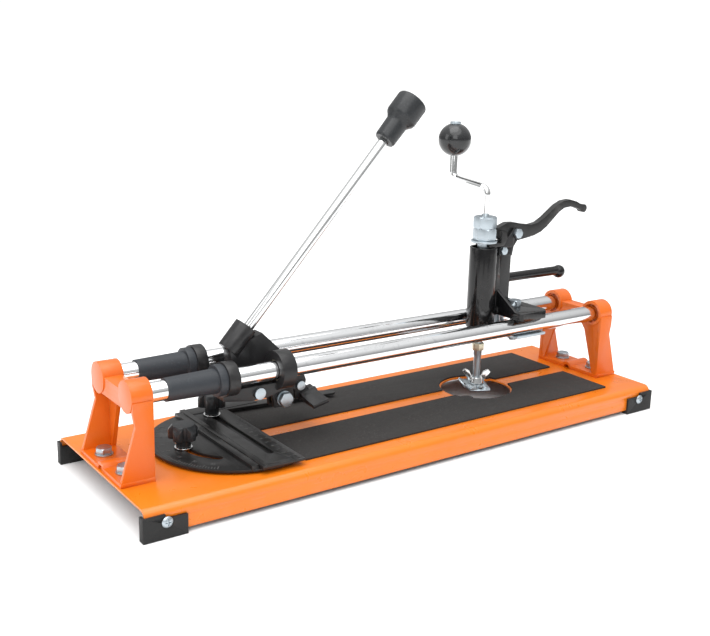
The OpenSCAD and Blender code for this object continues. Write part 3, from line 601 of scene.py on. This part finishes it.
@dataclass
class SubAssembly:
    """A group of CAD nodes, the finish of each, and the rounding of their edges."""

    frame: dict
    finishes: Finishes
    title: str = "piece"
    nodes: dict[str, str] = field(default_factory=dict)
    rounding: dict[str, float] = field(default_factory=dict)

    def dress(self) -> None:
        """Gives every CAD node its finish and rounds its edges."""
        for node, finish in self.nodes.items():
            obj = self.frame["nodes"][node]
            self.finishes.dress(obj, finish)
            smooth_edges(obj, self.rounding.get(node, 0.35))
        LOG.info("%s: %d nodes dressed", self.title, len(self.nodes))

    def details(self) -> None:
        """Adds the small pieces that the CAD part leaves out; here it adds none, and a group with such
        pieces overrides it.
        """


@dataclass
class BaseGroup(SubAssembly):
    """Folded base, pads, brackets, rails, feet and their fasteners."""

    title: str = "base"

    def __post_init__(self) -> None:
        """Lists the base's nodes."""
        self.nodes = {
            "base_plate": "orange_paint",
            "left_bracket": "orange_casting", "right_bracket": "orange_casting",
            "front_pad": "pad_rubber", "back_pad": "pad_rubber",
            "front_rail": "chrome_rail", "back_rail": "chrome_rail",
            "bracket_bolts": "zinc_plate", "bracket_washers": "zinc_plate", "bracket_nuts": "zinc_plate",
            "foot_front_left": "foot_rubber", "foot_front_right": "foot_rubber",
            "foot_back_left": "foot_rubber", "foot_back_right": "foot_rubber",
            "foot_screws": "zinc_plate", "foot_nuts": "zinc_plate",
            "gauge_pivot": "zinc_plate", "swivel_stud": "zinc_plate",
        }
        self.rounding = {
            "base_plate": 0.5, "left_bracket": 1.1, "right_bracket": 1.1, "front_pad": 0.4, "back_pad": 0.4,
            "foot_front_left": 0.9, "foot_front_right": 0.9, "foot_back_left": 0.9, "foot_back_right": 0.9,
            "bracket_washers": 0.2, "foot_screws": 0.15,
        }


@dataclass
class CarriageGroup(SubAssembly):
    """Carriage, guide sleeves, lever head, lever, wheel and breaker foot."""

    title: str = "carriage"

    def __post_init__(self) -> None:
        """Lists the carriage's nodes."""
        self.nodes = {
            "carriage_frame": "black_casting", "front_guide_sleeve": "sleeve_vinyl",
            "back_guide_sleeve": "sleeve_vinyl", "ring_bushes": "cream_acetal", "tilt_pin": "zinc_plate",
            "lever_head": "black_casting", "lever_rod": "chrome_rod", "lever_knob": "grip_plastic",
            "wheel_axle": "zinc_plate", "axle_nut": "zinc_plate", "foot_pin": "zinc_plate",
            "scoring_wheel": "wheel_gold", "breaker_foot": "black_casting",
        }
        self.rounding = {"carriage_frame": 0.9, "lever_head": 1.2, "breaker_foot": 0.7, "lever_knob": 0.5}


@dataclass
class HoleCutterGroup(SubAssembly):
    """Hole cutter: body, clamp, feed lever, spindle, crank and bit."""

    title: str = "hole cutter"

    def __post_init__(self) -> None:
        """Lists the hole cutter's nodes."""
        self.nodes = {
            "cutter_body": "black_enamel", "spindle_bushes": "cream_acetal", "clamp_bolt": "zinc_plate",
            "clamp_nut": "zinc_plate", "clamp_plate": "zinc_plate", "clamp_screw": "zinc_plate",
            "clamp_handle": "black_enamel", "lever_straps": "black_casting", "strap_pins": "zinc_plate",
            "feed_lever": "gauge_enamel", "feed_spring": "zinc_plate", "thrust_washer": "zinc_plate",
            "spindle": "zinc_plate", "jam_nuts": "zinc_plate", "crank_rod": "chrome_rod",
            "crank_ball": "ball_plastic", "crank_cap_nut": "zinc_plate", "spindle_lock_nut": "yellow_zinc",
            "bit_plate": "zinc_plate", "bit_screw": "zinc_plate", "carbide_bit": "dark_carbide",
            "wing_nut": "chrome_rod",
        }
        self.rounding = {
            "cutter_body": 0.8, "clamp_handle": 0.8, "feed_lever": 0.6,
            "lever_straps": 0.5, "wing_nut": 0.8,
            "bit_plate": 0.5, "thrust_washer": 0.4, "crank_rod": 0.2, "feed_spring": 0.05,
        }


@dataclass
class GaugeGroup(SubAssembly):
    """Angle gauge: protractor, ruler leg, knobs and their scales."""

    title: str = "angle gauge"
    plate_top: float = DECK + 4.5
    ruler_top: float = DECK + 7.1
    rim: float = 82.0
    tick_lift: float = 0.25
    long_mark: float = 6.0
    short_mark: float = 3.5
    digit_height: float = 5.0
    rim_margin: float = 2.5
    rim_digits_in: float = 12.5
    ruler_edge: float = 24.6
    ruler_digits_at: float = 14.5
    ruler_start: float = -84.0

    def __post_init__(self) -> None:
        """Lists the gauge's nodes."""
        self.nodes = {
            "protractor": "gauge_enamel", "ruler": "gauge_enamel", "swivel_knob": "grip_plastic",
            "swivel_washer": "chrome_rod", "ruler_stud": "zinc_plate", "ruler_knob": "grip_plastic",
            "ruler_washer": "chrome_rod",
        }
        self.rounding = {"protractor": 0.5, "ruler": 0.5, "swivel_knob": 1.0, "ruler_knob": 1.0}

    def number(self, text: str, height: float, place: Matrix, body: str, tag: str) -> None:
        """Raises one plain number on a plate.

        Args:
            text: The digits.
            height: Height of the digits in millimetres.
            place: Where the number's middle stands, in millimetres.
            body: The body that it rides on.
            tag: What sets its name apart.
        """
        curve = bpy.data.curves.new("digits", "FONT")
        curve.body = text
        curve.size = height * MM
        curve.extrude = 0.12 * MM
        curve.align_x = "CENTER"
        curve.align_y = "CENTER"
        maker = bpy.data.objects.new("digits", curve)
        bpy.context.scene.collection.objects.link(maker)
        data = bpy.data.meshes.new_from_object(maker.evaluated_get(bpy.context.evaluated_depsgraph_get()))
        bpy.data.objects.remove(maker)
        obj = bpy.data.objects.new(f"{body}_number_{tag}", data)
        shift = place.copy()
        shift.translation *= MM
        data.transform(shift)
        bpy.context.scene.collection.objects.link(obj)
        self.finishes.dress(obj, "scale_ink")
        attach(obj, body)

    def details(self) -> None:
        """Adds the raised marks and numbers of the protractor's rim and of the ruler."""
        rim = Detail("protractor_scale", "gauge", "scale_ink")
        for k in range(-50, 51, 2):
            long = self.long_mark if k % 10 == 0 else self.short_mark
            place = at(GAUGE_X, 0, 0) @ Matrix.Rotation(math.radians(180 + k), 4, "Z")
            place = place @ at(self.rim - self.rim_margin - long / 2, 0, 0)
            rim.slab(oblong(long, 0.6), self.plate_top - 0.1, self.plate_top + self.tick_lift, place)
        rim.build(self.finishes)
        for k in range(-45, 46, 15):
            place = at(GAUGE_X, 0, 0) @ Matrix.Rotation(math.radians(180 + k), 4, "Z")
            place = place @ at(self.rim - self.rim_digits_in, 0, self.plate_top + 0.02)
            place = place @ Matrix.Rotation(math.radians(90), 4, "Z")
            side = "left" if k > 0 else "right"
            self.number(str(abs(k)), self.digit_height, place, "gauge", f"{side}_{abs(k)}")
        scale = Detail("ruler_scale", "ruler", "scale_ink")
        for k in range(61):
            long = self.long_mark if k % 5 == 0 else self.short_mark
            place = at(GAUGE_X + self.ruler_edge - long / 2, self.ruler_start + k * 2.0, 0)
            scale.slab(oblong(long, 0.5), self.ruler_top - 0.1, self.ruler_top + self.tick_lift, place)
        scale.build(self.finishes)
        for k in range(1, 12):
            place = at(GAUGE_X + self.ruler_digits_at, self.ruler_start + k * 10.0, self.ruler_top + 0.02)
            place = place @ Matrix.Rotation(math.radians(-90), 4, "Z")
            self.number(str(k), self.digit_height, place, "ruler", str(k))


@dataclass
class Studio:
    """Pale floor, soft light and the camera."""

    azimuth: float = -35.5486
    elevation: float = 14.7471
    roll: float = 1.5279
    distance: float = 1.41832
    target: Point = (0.19003, 0.31872, DECK * MM)
    lens: float = 51.22
    surround: Colour = (1.0, 1.0, 1.0)
    surround_power: float = 1.0
    horizon_power: float = 0.30
    ceiling_power: float = 1.75

    def floor(self) -> None:
        """Lays a plain pale floor."""
        data = bpy.data.meshes.new("floor")
        size = 8.0
        data.from_pydata(
            [(-size, -size, 0), (size, -size, 0), (size, size, 0), (-size, size, 0)], [], [(0, 1, 2, 3)]
        )
        obj = bpy.data.objects.new("floor", data)
        bpy.context.scene.collection.objects.link(obj)
        material, _, shader = blank("pale_floor")
        shader.inputs["Base Color"].default_value = (0.95, 0.95, 0.95, 1.0)
        shader.inputs["Roughness"].default_value = 0.9
        obj.data.materials.append(material)

    def softbox(self, name: str, place: Point, aim: Point, size: tuple[float, float], power: float) -> None:
        """Hangs one soft rectangular light.

        Args:
            name: The light's name.
            place: Where it hangs, in metres.
            aim: What it points at.
            size: Its width and height in metres.
            power: Its power in watts.
        """
        data = bpy.data.lights.new(name, "AREA")
        data.shape = "RECTANGLE"
        data.size, data.size_y = size
        data.energy = power
        obj = bpy.data.objects.new(name, data)
        obj.location = place
        obj.rotation_euler = (Vector(aim) - Vector(place)).to_track_quat("-Z", "Y").to_euler()
        bpy.context.scene.collection.objects.link(obj)

    def light(self) -> None:
        """Sets the even surround and the softboxes."""
        bpy.context.scene.view_settings.view_transform = "Standard"
        world = bpy.data.worlds.new("studio")
        world.use_nodes = True
        n = Nodes(world.node_tree)
        back = world.node_tree.nodes["Background"]
        back.inputs[0].default_value = rgba(self.surround)
        seen = n.add("ShaderNodeLightPath").outputs["Is Camera Ray"]
        way = n.add("ShaderNodeSeparateXYZ", Vector=n.add("ShaderNodeTexCoord").outputs["Generated"])
        height = n.span(way.outputs["Z"], 0.05, 0.75, self.horizon_power, self.surround_power)
        white = n.math("MULTIPLY", seen, 1.05)
        n.put(back.inputs[1], n.math("MAXIMUM", white, height))
        bpy.context.scene.world = world
        self.softbox("top_light", (-0.1, 0.1, 1.7), (0, 0, 0.05), (1.6, 1.2), 9.0)
        self.softbox("front_light", (-1.2, -1.6, 1.1), (0, 0, 0.1), (1.2, 0.9), 7.0)
        self.softbox("side_light", (-1.9, 0.5, 0.9), (0, 0, 0.1), (0.8, 1.2), 5.0)
        data = bpy.data.lights.new("ceiling", "SUN")
        data.energy = self.ceiling_power
        data.angle = math.radians(70.0)
        obj = bpy.data.objects.new("ceiling", data)
        obj.rotation_euler = (math.radians(18.0), math.radians(-14.0), 0.0)
        bpy.context.scene.collection.objects.link(obj)

    def camera(self) -> None:
        """Places the camera."""
        a, e, r = (math.radians(v) for v in (self.azimuth, self.elevation, self.roll))
        back = Vector((math.sin(a) * math.cos(e), -math.cos(a) * math.cos(e), math.sin(e)))
        right = Vector((math.cos(a), math.sin(a), 0.0))
        up = back.cross(right)
        turned = right * math.cos(r) + up * math.sin(r)
        raised = up * math.cos(r) - right * math.sin(r)
        place = Matrix((turned, raised, back)).transposed().to_4x4()
        place.translation = Vector(self.target) + back * self.distance
        data = bpy.data.cameras.new("camera")
        data.lens = self.lens
        data.sensor_width = 36.0
        obj = bpy.data.objects.new("camera", data)
        obj.matrix_world = place
        bpy.context.scene.collection.objects.link(obj)
        bpy.context.scene.camera = obj

    def build(self) -> None:
        """Builds the whole studio."""
        self.floor()
        self.light()
        self.camera()
        LOG.info("studio: floor, light and camera")


def main() -> None:
    """Builds the tile cutter's looks in order."""
    logging.basicConfig(level=logging.INFO)
    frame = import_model()
    finishes = Finishes()
    for kind in (BaseGroup, CarriageGroup, HoleCutterGroup, GaugeGroup):
        group = kind(frame, finishes)
        group.dress()
        group.details()
    Studio().build()


if __name__ == "__main__":
    main()
